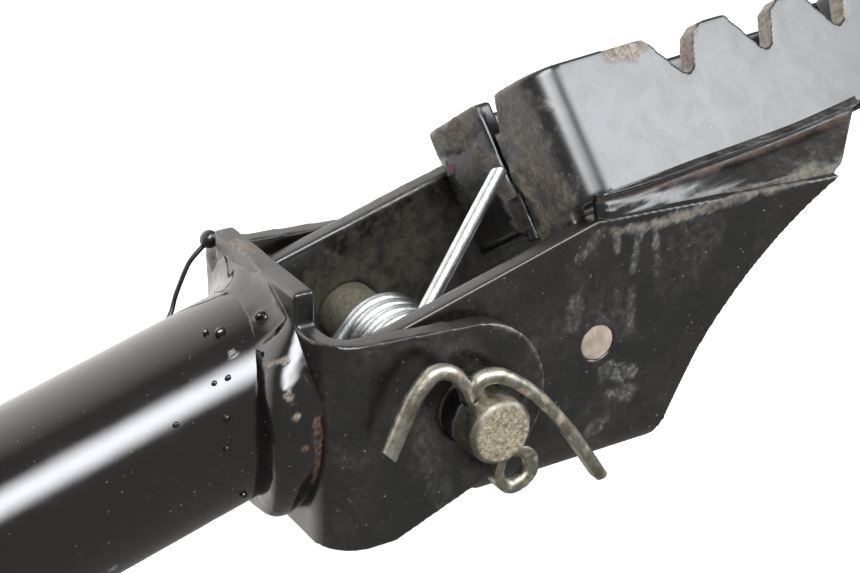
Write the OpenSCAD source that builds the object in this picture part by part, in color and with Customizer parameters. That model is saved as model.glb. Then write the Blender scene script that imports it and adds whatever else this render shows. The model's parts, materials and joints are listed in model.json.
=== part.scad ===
// Folding spring-return footpeg on a tube arm.
// The tube runs along +X from its mounting face; the peg hinges on a clevis pin along Y.

/* [Arm] */
// Distance from the mounting face to the hinge pin
pivot_x = 165; // [140:1:220]
// How far the hinge pin lies below the tube's axis
pivot_drop = 6.3; // [4:0.1:8]
// Outside diameter of the tube
tube_d = 28.6; // [27:0.1:30]
// Wall thickness of the tube
tube_wall = 2.6; // [2:0.1:4]
// Thickness of the mounting flange
flange_t = 5; // [4:0.5:8]
// Distance between the two mounting holes
hole_spacing = 50; // [48:1:60]
// Diameter of each mounting hole
hole_d = 8.5; // [6.5:0.1:9]

/* [Hinge] */
// How many degrees the clevis tips down from the tube
clevis_pitch = 15; // [12:1:16]
// Thickness of the clevis and bracket plates
plate_t = 3.2; // [3:0.1:3.4]
// Width between the clevis ears
clevis_gap = 36.8; // [36.6:0.1:37.2]
// Distance from the pin to the inside of the clevis web
web_reach = 19.3; // [19:0.1:20]
// Diameter of the clevis pin
pin_d = 9.8; // [9.6:0.1:9.9]
// How far the pin stands out of the near ear
pin_proud = 9; // [7:0.5:10]
// Thickness of the cotter's wire
cotter_wire = 2; // [1.8:0.1:2]
// How far the cotter leans from upright, in degrees
cotter_lean = 12.7; // [10:0.1:15]

/* [Spring] */
// Thickness of the spring's wire
spring_wire = 2.3; // [2:0.1:2.4]
// Outside diameter of the spring's coil
spring_d = 15.3; // [15.2:0.1:15.8]
// Where the coil's near end lies along the pin
spring_near_y = -11.5; // [-12:0.1:-11]
// Length of the coil
spring_len = 16.4; // [16:0.1:17]

/* [Peg] */
// Width between the bracket's two walls
bracket_gap = 28; // [27.8:0.1:28.2]
// Height of the bracket's top edge above the pin
bracket_top = 14.3; // [14:0.1:14.6]
// Length of the tread frame
tread_len = 89; // [80:1:95]
// Width of the tread frame
tread_w = 29; // [28:0.5:30]
// Height of the tread strips
tread_h = 20.5; // [20:0.5:21]
// Thickness of the tread strips
strip_t = 3.2; // [3:0.1:3.4]
// Distance from one tooth gap to the next
tooth_pitch = 20; // [19.5:0.1:20.5]
// Depth of each tooth gap
tooth_depth = 7.3; // [6:0.1:8]

/* [Hidden] */
$fn = 64;
tube_r = tube_d / 2;
pin_r = pin_d / 2;
// Running clearance between the pin and every hole it passes through
pin_clear = 0.07;
pin_hole_r = pin_r + pin_clear;
ear_out = clevis_gap / 2 + plate_t;
web_out = web_reach + plate_t;
wall_in = bracket_gap / 2;
wall_out = wall_in + plate_t;
// Clevis: bend radii, ear and tab heights above and below the pin
clevis_bend_in = 3.5;
clevis_bend_out = clevis_bend_in + plate_t;
bend_x = -web_reach + clevis_bend_in;
bend_y = clevis_gap / 2 - clevis_bend_in;
ear_r = 12.8;
ear_low = -18.2;
ear_high = 14.1;
tab_high = 19.6;
tab_half = 13;
// Height on the clevis web where the tube's axis meets it
tube_on_web = (pivot_drop - web_out * sin(clevis_pitch)) / cos(clevis_pitch);
// Bracket: end radius round the pin, underside, where the walls' top turns down
bracket_end_r = 17.6;
bracket_low = -19.2;
bracket_bend_in = 1.8;
bracket_bend_out = bracket_bend_in + plate_t;
shoulder_x = 29;
nose = [72.2, 0.1];
belly_c = [87.6, -69.7];
belly_r = 71.1;
stop_gap = 0.3;
stop_len = 28;
stop_half = 11;
gauge_hole = [24.5, -4.9];
gauge_hole_r = 2.75;
// Tread: corner of the frame on the bracket, its roll, pitch and yaw
tread_at = [33, -16.5, 17];
tread_turn = [-31.7, 16.9, 15.1];
strip_bend_out = 5;
strip_bend_in = strip_bend_out - strip_t;
// The frame's inner end lies one bend radius before its corner point
tread_start = -strip_bend_out;
tread_end = tread_start + tread_len;
first_gap = 25.8;
seam_gap = 0.6;
seam_w = 13.4;
// Depth that the near strip's inner flange hangs below the walls
flange_hang = 3;
rib_at = 55;
rib_h = 12.6;
weld_r = 2.2;
washer_t = 1.2;
washer_r = 9;
head_t = 3;
head_r = 7.5;
eps = 0.01;

// ---- frames ----
module at_pivot() translate([pivot_x, 0, -pivot_drop]) children();
module at_clevis() at_pivot() rotate([0, clevis_pitch, 0]) children();
module at_tread() at_pivot() translate(tread_at) rotate(tread_turn) children();
// Stands a flat XZ outline up between two Y values
module across(y0, y1) translate([0, y1, 0]) rotate([90, 0, 0]) linear_extrude(y1 - y0) children();

// ---- helpers ----
module rod(p, q, r) {
    v = q - p;
    translate(p) rotate([0, acos(v[2] / norm(v)), atan2(v[1], v[0])]) cylinder(h = norm(v), r = r);
}
// A bent wire: rods with a slightly larger ball at each bend
module chain(points, r, ball = 1.04) {
    for (i = [1:len(points) - 1]) rod(points[i - 1], points[i], r);
    for (i = [1:len(points) - 2]) translate(points[i]) sphere(r * ball);
}
// Point where the tangent from p touches a circle of radius r about the origin
function tangent(p, r, side) = let (a = atan2(p[1], p[0]) + side * acos(r / norm(p))) r * [cos(a), sin(a)];

// ---- arm ----
module flange_outline() {
    big_r = 22;
    small_r = 12;
    lean = asin((big_r - small_r) / (hole_spacing / 2));
    side = [cos(lean), sin(lean)];
    circle(big_r);
    for (s = [-1, 1]) translate([0, s * hole_spacing / 2]) circle(small_r);
    polygon([for (m = [[1, 1], [-1, 1], [-1, -1], [1, -1]])
        [m[0] * small_r * side[0], m[1] * (hole_spacing / 2 + small_r * side[1])]]);
    polygon([for (m = [[1, 1], [-1, 1], [-1, -1], [1, -1]]) for (k = [0, 1])
        let (j = (m[0] * m[1] > 0) ? k : 1 - k)
        j == 0 ? [m[0] * big_r * side[0], m[1] * big_r * side[1]]
            : [m[0] * small_r * side[0], m[1] * (hole_spacing / 2 + small_r * side[1])]]);
}
module mount_flange() color("#1b1b1c") rotate([90, 0, 90]) linear_extrude(flange_t) difference() {
    flange_outline();
    for (s = [-1, 1]) translate([0, s * hole_spacing / 2]) circle(hole_d / 2);
}
module flange_weld() color("#262524") translate([flange_t, 0, 0]) rotate([0, 90, 0]) rotate_extrude()
    translate([tube_r, 0]) intersection() {
        circle(3.4);
        square(5);
    }
module support_tube() color("#141415") difference() {
    translate([flange_t, 0, 0]) rotate([0, 90, 0]) cylinder(h = pivot_x, r = tube_r);
    translate([flange_t - 1, 0, 0]) rotate([0, 90, 0]) cylinder(h = pivot_x + 2, r = tube_r - tube_wall);
    at_clevis() translate([-web_out, -50, -50]) cube([120, 100, 100]);
}
module clevis_plan(wall) {
    r = clevis_bend_out - wall;
    translate([bend_x, -ear_out + wall]) square([60, 2 * (ear_out - wall)]);
    translate([-web_out + wall, -bend_y]) square([20, 2 * bend_y]);
    for (s = [-1, 1]) translate([bend_x, s * bend_y]) circle(r);
}
module ear_outline() {
    low = [-12, ear_low];
    high = [-web_out, ear_high + 0.4];
    circle(ear_r);
    polygon([[-web_out, ear_low], low, tangent(low, ear_r, 1), [0, 0], tangent(high, ear_r, -1), high]);
}
module clevis() color("#171718") at_clevis() difference() {
    intersection() {
        difference() {
            translate([0, 0, -25]) linear_extrude(50) clevis_plan(0);
            translate([0, 0, -26]) linear_extrude(52) clevis_plan(plate_t);
        }
        union() {
            across(-ear_out, ear_out) ear_outline();
            translate([-web_out, -tab_half, 0]) cube([plate_t, 2 * tab_half, tab_high]);
        }
    }
    rotate([90, 0, 0]) cylinder(h = 100, r = pin_hole_r, center = true);
}
// Fillet from the tube to the web's outer face, cut level with the tab
module clevis_weld() color("#242220") difference() {
    at_clevis() translate([-web_out, 0, tube_on_web]) rotate([0, -90, 0]) rotate_extrude()
        polygon([[tube_r - 1.5, 0], [tube_r + 4.4, 0], [tube_r + 2.4, 2.6], [tube_r - 1.5, 7.5]]);
    at_clevis() translate([-web_out - 20, -50, tab_high - 0.2]) cube([40, 100, 50]);
    rotate([0, 90, 0]) cylinder(h = pivot_x, r = tube_r);
}
// Droplets thrown off the weld: [distance along from the pin, angle round the tube, radius]
spatter = [[-25.8, 70, 0.75], [-27.4, 75, 0.5], [-28.4, 44, 0.45], [-30.4, 45, 0.4], [-31.2, 25, 0.5],
    [-37.8, 35, 0.45], [-33, 10, 0.45], [-32.6, -29, 0.5]];
module weld_spatter() color("#2c2a28") for (s = spatter) {
    out = tube_r + s[2] + 0.02;
    translate([pivot_x + s[0], -out * cos(s[1]), out * sin(s[1])]) sphere(s[2]);
}
whisker = [[-29.5, 13.2, 12.85], [-26.4, 14.6, 14.4], [-24.4, 15.2, 16.6], [-21, 15.5, 20], [-17.9, 15.5, 21.6]];
module wire_whisker() color("#101012") at_pivot() {
    chain(whisker, 0.4);
    translate([-16.9, 15.5, 22.1]) sphere(1.45);
}

// ---- pin ----
pin_near = -ear_out - pin_proud;
// The cross hole's distance from the pin's near end
cotter_in = 5;
cotter_y = pin_near + cotter_in;
pin_far = ear_out + 0.15 + washer_t + 0.1;
module clevis_pin() color("#8b8574") at_pivot() difference() {
    union() {
        translate([0, pin_near + 0.8, 0]) rotate([-90, 0, 0]) cylinder(h = pin_far - pin_near, r = pin_r);
        translate([0, pin_near, 0]) rotate([-90, 0, 0]) cylinder(h = 0.8 + eps, r1 = pin_r - 0.8, r2 = pin_r);
        translate([0, pin_far, 0]) rotate([-90, 0, 0]) cylinder(h = head_t - 0.8, r = head_r);
        translate([0, pin_far + head_t - 0.8, 0]) rotate([-90, 0, 0])
            cylinder(h = 0.8, r1 = head_r, r2 = head_r - 0.8);
    }
    translate([0, cotter_y, 0]) rotate([0, -cotter_lean, 0]) cylinder(h = 20, r = 1.4, center = true);
}
module pin_washer() color("#9a968a") at_pivot() translate([0, ear_out + 0.15, 0]) rotate([-90, 0, 0])
    difference() {
        cylinder(h = washer_t, r = washer_r);
        translate([0, 0, -1]) cylinder(h = washer_t + 2, r = pin_hole_r + 0.1);
    }
// Middle line of each leg in the plane across the pin, [x, z]
cotter_short_leg = [[-1.15, 5.2], [-2.2, 8.2], [-3.6, 10.3], [-5.4, 11.1], [-7.2, 10.5], [-9.8, 8.6], [-15.2, 2.7]];
cotter_long_leg = [[-1.15, 5.2], [0.6, 6.3], [2.9, 5.9], [5, 4.1], [8, -0.3], [10.2, -5], [12.3, -10.4],
    [15.1, -19.6]];
cotter_eye_r = 3;
cotter_eye_at = 10.2;
function on_cotter_plane(p) = [p[0], cotter_y, p[1]];
module cotter_pin() color("#8d8a80") at_pivot() {
    wire_r = cotter_wire / 2;
    // Inside the pin the two legs lie together as one thicker rod
    both_r = wire_r * 1.25;
    chain([for (p = cotter_short_leg) on_cotter_plane(p)], wire_r, 1.1);
    chain([for (p = cotter_long_leg) on_cotter_plane(p)], wire_r, 1.1);
    translate(on_cotter_plane(cotter_long_leg[0])) sphere(both_r * 1.05);
    translate([0, cotter_y, 0]) rotate([0, -cotter_lean, 0]) {
        neck = cotter_eye_r - cotter_eye_at;
        translate([0, 0, neck]) cylinder(h = 5 - neck, r = both_r);
        translate([0, 0, neck]) sphere(both_r * 1.05);
        translate([0, 0, -cotter_eye_at]) rotate([90, 0, 0]) rotate_extrude()
            translate([cotter_eye_r, 0]) circle(wire_r);
    }
}

// ---- spring ----
spring_mean_r = (spring_d - spring_wire) / 2;
// Directions in which the two legs leave the coil, degrees above +X
push_leg_a = 27.8;
brace_leg_a = 215;
function on_coil(a, y) = [spring_mean_r * cos(a), y, spring_mean_r * sin(a)];
module return_spring() color("#c9cbc9") at_pivot() {
    // A hair thinner than the coil's wall, so that each leg joins it without a tangent face
    leg_r = spring_wire / 2 - 0.04;
    near_mid = spring_near_y + spring_wire / 2;
    far_mid = spring_near_y + spring_len - spring_wire / 2;
    translate([0, spring_near_y, 0]) rotate([-90, 0, 0]) difference() {
        cylinder(h = spring_len, r = spring_d / 2);
        translate([0, 0, -1]) cylinder(h = spring_len + 2, r = spring_d / 2 - spring_wire);
    }
    rod(on_coil(push_leg_a + 90, near_mid), [22.9, -1.95, 19.95], leg_r);
    rod(on_coil(brace_leg_a - 90, far_mid), [-20.3, far_mid, -6.3], leg_r);
}

// ---- peg ----
// Side outline of the bracket's walls
module wall_outline() intersection() {
    difference() {
        union() {
            circle(bracket_end_r);
            translate([0, -45]) square([80, 65]);
        }
        translate(belly_c) circle(belly_r, $fn = 128);
    }
    polygon([[-30, -45], [-30, bracket_top], [shoulder_x, bracket_top], nose, [nose[0], -45]]);
}
// Cross-section of the channel, open at the top
module channel_outline(wall) {
    r = bracket_bend_out - wall;
    half = wall_out - wall;
    low = bracket_low + wall;
    translate([-half, low + r]) square([2 * half, 80]);
    translate([-half + r, low]) square([2 * (half - r), 20]);
    for (s = [-1, 1]) translate([s * (half - r), low + r]) circle(r);
}
module channel() rotate([90, 0, 90]) translate([0, 0, -40]) linear_extrude(140) difference() {
    channel_outline(0);
    channel_outline(plate_t);
}
// Room for the whole tread frame
module tread_room() at_tread() translate([tread_start, 0, 0]) cube([tread_len, tread_w, 60]);
// Lip of the near wall that leans in to meet the tread
module bracket_lip() color("#2a2725") difference() {
    hull() {
        at_pivot() for (p = [[30, -15.6, 12.6], [70.6, -15.6, -0.6]]) translate(p) sphere(1.55, $fn = 20);
        at_tread() for (p = [[-1, 1.2, -1.6], [46, 1.2, -1.6]]) translate(p) sphere(1.55, $fn = 20);
    }
    tread_room();
    at_pivot() across(-wall_out - 3, -wall_in) wall_outline();
}
module peg_bracket() color("#1d1b1a") difference() {
    union() {
        intersection() {
            at_clevis() channel();
            at_pivot() across(-wall_out - 1, wall_out + 1) wall_outline();
        }
        at_clevis() translate([-web_reach + stop_gap, -stop_half, bracket_low])
            cube([stop_len, 2 * stop_half, plate_t]);
    }
    tread_room();
    at_pivot() rotate([90, 0, 0]) cylinder(h = 100, r = pin_hole_r, center = true);
    at_pivot() translate([gauge_hole[0], -wall_in + 2, gauge_hole[1]]) rotate([90, 0, 0])
        cylinder(h = 20, r = gauge_hole_r);
}

// Plan outline of one strip: its wall, both bends and both end flanges
module strip_plan(inner_end, outer_end) {
    reach = tread_len - 2 * strip_bend_out;
    translate([0, 0]) square([reach, strip_t]);
    translate([tread_start, strip_bend_out]) square([strip_t, inner_end - strip_bend_out]);
    translate([tread_end - strip_t, strip_bend_out]) square([strip_t, outer_end - strip_bend_out]);
    for (x = [0, reach]) translate([x, strip_bend_out]) intersection() {
        difference() {
            circle(strip_bend_out);
            circle(strip_bend_in);
        }
        translate([x == 0 ? -10 : 0, -10]) square(10);
    }
}
// Gap between two teeth, from its lowest point
module tooth_gap() polygon([[-6.8, 0.5], [-6.4, -0.6], [-1.4, 0.7 - tooth_depth], [0, -tooth_depth],
    [1.4, 0.6 - tooth_depth], [2.6, 3 - tooth_depth], [4.2, -1.4], [6.4, -0.4], [7.2, 0.5]]);
module tooth_gaps(w0, w1) for (i = [0:2])
    translate([first_gap + i * tooth_pitch, 0, tread_h]) across(w0, w1) tooth_gap();
module tread_near_strip() color("#24242a") at_tread() {
    difference() {
        linear_extrude(tread_h) strip_plan(seam_w, tread_w / 2 - seam_gap / 2);
        tooth_gaps(-1, strip_t + 1);
        // The inner flange's free edge leans, and its top corner is cut back
        translate([tread_start - 1, 10, tread_h]) rotate([20, 0, 0]) translate([0, 0, -6]) cube([strip_t + 2, 12, 12]);
    }
    translate([tread_start, strip_bend_out, -flange_hang]) cube([strip_t, seam_w - strip_bend_out, flange_hang]);
}
module tread_far_strip() color("#222225") at_tread() difference() {
    translate([0, tread_w, 0]) mirror([0, 1, 0])
        linear_extrude(tread_h) strip_plan(tread_w - seam_w - seam_gap, tread_w / 2 - seam_gap / 2);
    tooth_gaps(tread_w - strip_t - 1, tread_w + 1);
}
module tread_cross_rib() color("#222225") at_tread() translate([rib_at, strip_t, 0]) difference() {
    cube([strip_t, tread_w - 2 * strip_t, rib_h]);
    for (w = [1, 3]) translate([-1, w * (tread_w - 2 * strip_t) / 4, rib_h]) rotate([0, 90, 0])
        cylinder(h = strip_t + 2, r = 4);
}
module tread_near_weld() color("#2b2725") difference() {
    at_tread() rod([-1.5, -0.4, -0.6], [49, -0.4, -0.6], weld_r);
    tread_room();
    bracket_lip();
    at_pivot() across(-wall_out - 3, -wall_in) wall_outline();
}
module tread_far_weld() color("#3a3129") difference() {
    at_pivot() rod([27.5, wall_out, 15.7], [54, wall_out, -3.8], weld_r);
    tread_room();
    at_pivot() across(0, wall_out) wall_outline();
}
module inner_seam_weld() color("#3a342c") at_tread() difference() {
    rod([tread_start + 0.6, seam_w + seam_gap / 2, -2], [tread_start + 0.6, seam_w + seam_gap / 2, 6], 2);
    translate([tread_start, -eps, 0]) cube([20, tread_w, tread_h]);
    translate([tread_start, 0, -flange_hang]) cube([strip_t, seam_w, flange_hang + 1]);
}
module tip_seam_weld() color("#26231f") at_tread() difference() {
    rod([tread_end - 0.6, tread_w / 2, 1], [tread_end - 0.6, tread_w / 2, tread_h - 1], 2);
    translate([tread_end - 20, -eps, -1]) cube([20, tread_w, tread_h + 2]);
}
module rib_welds() color("#26231f") at_tread() for (w = [strip_t, tread_w - strip_t]) difference() {
    rod([rib_at - 0.2, w, 0.5], [rib_at - 0.2, w, rib_h - 0.8], 1.6);
    translate([rib_at, strip_t, -1]) cube([20, tread_w - 2 * strip_t, tread_h]);
    translate([rib_at - 10, strip_t - 10, -1]) cube([30, 10, tread_h]);
    translate([rib_at - 10, tread_w - strip_t, -1]) cube([30, 10, tread_h]);
}

mount_flange();
flange_weld();
support_tube();
clevis();
clevis_weld();
weld_spatter();
wire_whisker();
clevis_pin();
pin_washer();
cotter_pin();
return_spring();
peg_bracket();
bracket_lip();
tread_near_strip();
tread_far_strip();
tread_cross_rib();
tread_near_weld();
tread_far_weld();
inner_seam_weld();
tip_seam_weld();
rib_welds();
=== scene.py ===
import json
import math

import bmesh
import bpy
import numpy as np
from mathutils import Euler, Matrix, Vector


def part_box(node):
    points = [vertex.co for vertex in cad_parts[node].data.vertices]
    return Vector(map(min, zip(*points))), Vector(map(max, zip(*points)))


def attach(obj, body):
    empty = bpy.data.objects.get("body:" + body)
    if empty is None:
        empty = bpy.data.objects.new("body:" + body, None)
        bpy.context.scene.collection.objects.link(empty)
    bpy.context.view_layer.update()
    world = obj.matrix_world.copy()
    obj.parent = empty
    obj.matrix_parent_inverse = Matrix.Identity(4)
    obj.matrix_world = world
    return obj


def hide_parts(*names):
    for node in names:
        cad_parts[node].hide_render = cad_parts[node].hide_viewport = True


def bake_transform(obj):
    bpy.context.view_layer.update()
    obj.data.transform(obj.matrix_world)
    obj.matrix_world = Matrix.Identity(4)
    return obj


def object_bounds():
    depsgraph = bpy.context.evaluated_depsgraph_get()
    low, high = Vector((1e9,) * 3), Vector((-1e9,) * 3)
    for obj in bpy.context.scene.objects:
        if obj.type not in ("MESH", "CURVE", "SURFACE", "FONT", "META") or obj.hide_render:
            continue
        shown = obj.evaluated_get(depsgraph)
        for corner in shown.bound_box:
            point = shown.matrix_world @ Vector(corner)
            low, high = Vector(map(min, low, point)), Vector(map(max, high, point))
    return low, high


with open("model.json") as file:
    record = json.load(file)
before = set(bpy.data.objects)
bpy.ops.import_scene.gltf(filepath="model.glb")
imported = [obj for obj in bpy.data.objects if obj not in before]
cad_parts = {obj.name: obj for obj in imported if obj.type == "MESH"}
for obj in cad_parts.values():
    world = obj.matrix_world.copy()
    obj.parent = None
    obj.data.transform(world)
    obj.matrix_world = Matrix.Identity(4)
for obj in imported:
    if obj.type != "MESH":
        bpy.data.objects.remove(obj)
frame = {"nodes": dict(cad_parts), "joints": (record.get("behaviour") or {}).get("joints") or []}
CAD_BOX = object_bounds()

MM = 0.001
HINGE = next(j for j in frame["joints"] if j["name"] == "peg_fold")
PIVOT = Vector(HINGE["pos_m"])
NODES = frame["nodes"]


# ---- frames, the same as the part's own ----
def placed(at, turn):
    """A frame at a point given in mm from the pivot, turned by degrees about X, then Y, then Z."""
    angles = Euler([math.radians(a) for a in turn], "XYZ")
    return Matrix.Translation(PIVOT + Vector(at) * MM) @ angles.to_matrix().to_4x4()


AT_ROW = Matrix.Identity(4)
AT_PIVOT = placed((0, 0, 0), (0, 0, 0))
AT_CLEVIS = placed((0, 0, 0), (0, 15, 0))
AT_TREAD = placed((33, -16.5, 17), (-31.7, 16.9, 15.1))
TUBE_R = 14.3
TUBE_WALL = 2.6
PITCH = math.radians(15)
WEB_OUT = 22.5
BEND_R = 6.7
BEND_Y = 14.9
WALL_OUT = 17.2


# ---- seeded noise on arrays of points ----
def value_noise(p, seed):
    """Smooth noise from -1 to 1 at each row of p, one cell per unit."""
    cell = np.floor(p).astype(np.int64)
    part = p - cell
    part = part * part * (3 - 2 * part)

    def corner(dx, dy, dz):
        # The large odd numbers only scramble the cell's place and the seed into a hash
        n = (cell[:, 0] + dx) * 73856093 ^ (cell[:, 1] + dy) * 19349663 ^ (cell[:, 2] + dz) * 83492791
        n = (n + seed * 374761393) & 0x7FFFFFFF
        n = ((n ^ (n >> 13)) * 1274126177) & 0x7FFFFFFF
        n = ((n ^ (n >> 16)) * 668265263) & 0x7FFFFFFF
        return (n & 0xFFFF) / 32767.5 - 1

    total = 0
    for dx in (0, 1):
        for dy in (0, 1):
            for dz in (0, 1):
                wx = part[:, 0] if dx else 1 - part[:, 0]
                wy = part[:, 1] if dy else 1 - part[:, 1]
                wz = part[:, 2] if dz else 1 - part[:, 2]
                total = total + wx * wy * wz * corner(dx, dy, dz)
    return total


def fractal(p, size, seed, octaves=3):
    """Layered noise from about -1 to 1. p in mm, size is the largest feature in mm."""
    total, weight, amount = 0, 0, 1
    for i in range(octaves):
        total = total + amount * value_noise(p / size * 2 ** i + 17.3 * i, seed + i)
        weight += amount
        amount *= 0.5
    return total / weight


def smoothstep(x, low, high):
    t = np.clip((x - low) / (high - low), 0, 1)
    return t * t * (3 - 2 * t)


# ---- meshes ----
def new_object(name, mesh):
    obj = bpy.data.objects.new(name, mesh)
    bpy.context.scene.collection.objects.link(obj)
    return obj


def points_of(obj, at=AT_ROW):
    """The object's vertices as rows, in mm, in the frame `at`."""
    co = np.empty(len(obj.data.vertices) * 3)
    obj.data.vertices.foreach_get("co", co)
    back = np.array(at.inverted())
    return (co.reshape(-1, 3) @ back[:3, :3].T + back[:3, 3]) / MM


def move_points(obj, offsets_mm):
    co = np.empty(len(obj.data.vertices) * 3)
    obj.data.vertices.foreach_get("co", co)
    obj.data.vertices.foreach_set("co", (co.reshape(-1, 3) + offsets_mm * MM).ravel())
    obj.data.update()


def normals_of(obj):
    no = np.empty(len(obj.data.vertices) * 3)
    obj.data.vertex_normals.foreach_get("vector", no)
    return no.reshape(-1, 3)


def edges_of(obj):
    e = np.empty(len(obj.data.edges) * 2, np.int64)
    obj.data.edges.foreach_get("vertices", e)
    return e.reshape(-1, 2)


def spread(values, edges, rounds):
    """Each value becomes the mean of its own and its neighbours', a few times over."""
    count = np.ones(len(values))
    np.add.at(count, edges[:, 0], 1)
    np.add.at(count, edges[:, 1], 1)
    for _ in range(rounds):
        total = values.copy()
        np.add.at(total, edges[:, 0], values[edges[:, 1]])
        np.add.at(total, edges[:, 1], values[edges[:, 0]])
        values = total / count
    return values


def edge_measure(obj, rounds):
    """How far each vertex stands out from its neighbours: about 0 on a flat, 1 on a sharp outer edge."""
    co, no, edges = points_of(obj), normals_of(obj), edges_of(obj)
    total, count = np.zeros_like(co), np.zeros(len(co))
    for a, b in ((0, 1), (1, 0)):
        np.add.at(total, edges[:, a], co[edges[:, b]])
        np.add.at(count, edges[:, a], 1)
    out = ((co - total / np.maximum(count, 1)[:, None]) * no).sum(1)
    step = np.linalg.norm(co[edges[:, 0]] - co[edges[:, 1]], axis=1).mean()
    return spread(np.clip(out / step * 4, 0, 1), edges, rounds)


def set_mask(obj, name, values):
    layer = obj.data.attributes.get(name) or obj.data.attributes.new(name, "FLOAT", "POINT")
    layer.data.foreach_set("value", np.clip(values, 0, 1).astype(np.float32))


def from_data(name, verts_mm, faces, at):
    mesh = bpy.data.meshes.new(name)
    mesh.from_pydata([tuple(v * MM for v in p) for p in verts_mm], [], faces)
    mesh.transform(at)
    mesh.update()
    return new_object(name, mesh)


def apply_modifiers(obj):
    bpy.context.view_layer.update()
    graph = bpy.context.evaluated_depsgraph_get()
    mesh = bpy.data.meshes.new_from_object(obj.evaluated_get(graph))
    obj.modifiers.clear()
    obj.data = mesh


def remeshed(obj, at, voxel_mm, rounding):
    """Rebuilds the mesh on an even grid in its own frame and rounds its edges."""
    obj.data.transform(at.inverted())
    grid = obj.modifiers.new("grid", "REMESH")
    grid.mode = "VOXEL"
    grid.voxel_size = voxel_mm * MM
    soft = obj.modifiers.new("soft", "SMOOTH")
    soft.factor = 0.5
    soft.iterations = rounding
    apply_modifiers(obj)
    obj.data.transform(at)
    obj.data.shade_smooth()


def refined(node, name, at, voxel_mm, rounding):
    """A finished copy of a CAD node, on an even grid with rounded edges."""
    mesh = bpy.data.meshes.new(name)
    bm = bmesh.new()
    bm.from_mesh(NODES[node].data)
    bmesh.ops.remove_doubles(bm, verts=bm.verts, dist=1e-7)
    bm.to_mesh(mesh)
    bm.free()
    obj = new_object(name, mesh)
    remeshed(obj, at, voxel_mm, rounding)
    return obj


def finish_piece(obj, body, slot, material, *nodes, crisp=0):
    obj.data.materials.clear()
    obj.data.materials.append(material)
    obj.data.shade_smooth()
    if crisp:
        obj.data.set_sharp_from_angle(angle=math.radians(crisp))
    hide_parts(*nodes)
    if body:
        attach(obj, body)


def lump(centre, radii, at, seed, rough=0.25):
    """A closed, uneven ball, in mm in the frame `at`."""
    bm = bmesh.new()
    bmesh.ops.create_icosphere(bm, subdivisions=3, radius=1)
    p = np.array([v.co for v in bm.verts])
    p = p * (1 + rough * fractal(p, 0.9, seed, 2))[:, None] * np.array(radii) + np.array(centre)
    for v, q in zip(bm.verts, p):
        v.co = Vector(q) * MM
    mesh = bpy.data.meshes.new("lump")
    bm.to_mesh(mesh)
    bm.free()
    mesh.transform(at)
    return new_object("lump", mesh)


def joined(name, parts):
    """One object made of several, which are removed."""
    bm = bmesh.new()
    for part in parts:
        bm.from_mesh(part.data)
        bpy.data.objects.remove(part)
    mesh = bpy.data.meshes.new(name)
    bm.to_mesh(mesh)
    bm.free()
    return new_object(name, mesh)


def turn_outwards(obj, extra=()):
    """Adds any extra solids to the object's mesh, removes them, and faces every side outwards."""
    bm = bmesh.new()
    bm.from_mesh(obj.data)
    for other in extra:
        bm.from_mesh(other.data)
        bpy.data.objects.remove(other)
    bmesh.ops.recalc_face_normals(bm, faces=bm.faces)
    bm.to_mesh(obj.data)
    bm.free()


def smooth_path(points, per_span):
    """A Catmull-Rom curve through the points."""
    p = np.array(points, float)
    p = np.vstack([2 * p[0] - p[1], p, 2 * p[-1] - p[-2]])
    out = []
    for i in range(1, len(p) - 2):
        for k in range(per_span):
            t = k / per_span
            out.append(0.5 * (2 * p[i] + (p[i + 1] - p[i - 1]) * t
                              + (2 * p[i - 1] - 5 * p[i] + 4 * p[i + 1] - p[i + 2]) * t * t
                              + (3 * p[i] - p[i - 1] - 3 * p[i + 1] + p[i + 2]) * t ** 3))
    out.append(p[-2])
    return np.array(out)


def swept(name, path, section, side, at, cut_start=0.0, cut_end=0.0):
    """Carries a flat section along a path, in mm.

    side is the direction that the section's first axis leans to.
    """
    path = np.array(path, float)
    along = np.gradient(path, axis=0)
    along /= np.linalg.norm(along, axis=1)[:, None]
    first = np.array(side, float)
    rings = []
    for i, (p, d) in enumerate(zip(path, along)):
        first = first - d * first.dot(d)
        first /= np.linalg.norm(first)
        second = np.cross(d, first)
        slant = cut_start if i == 0 else cut_end if i == len(path) - 1 else 0
        rings.append([p + first * u + second * v + d * slant * u for u, v in section])
    n = len(section)
    verts = [q for ring in rings for q in ring]
    faces = [[i * n + k, i * n + (k + 1) % n, (i + 1) * n + (k + 1) % n, (i + 1) * n + k]
             for i in range(len(rings) - 1) for k in range(n)]
    faces.append(list(range(n))[::-1])
    faces.append([(len(rings) - 1) * n + k for k in range(n)])
    return from_data(name, verts, faces, at)


def ring_section(radius, count=20):
    return [(radius * math.cos(2 * math.pi * k / count), radius * math.sin(2 * math.pi * k / count))
            for k in range(count)]


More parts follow.
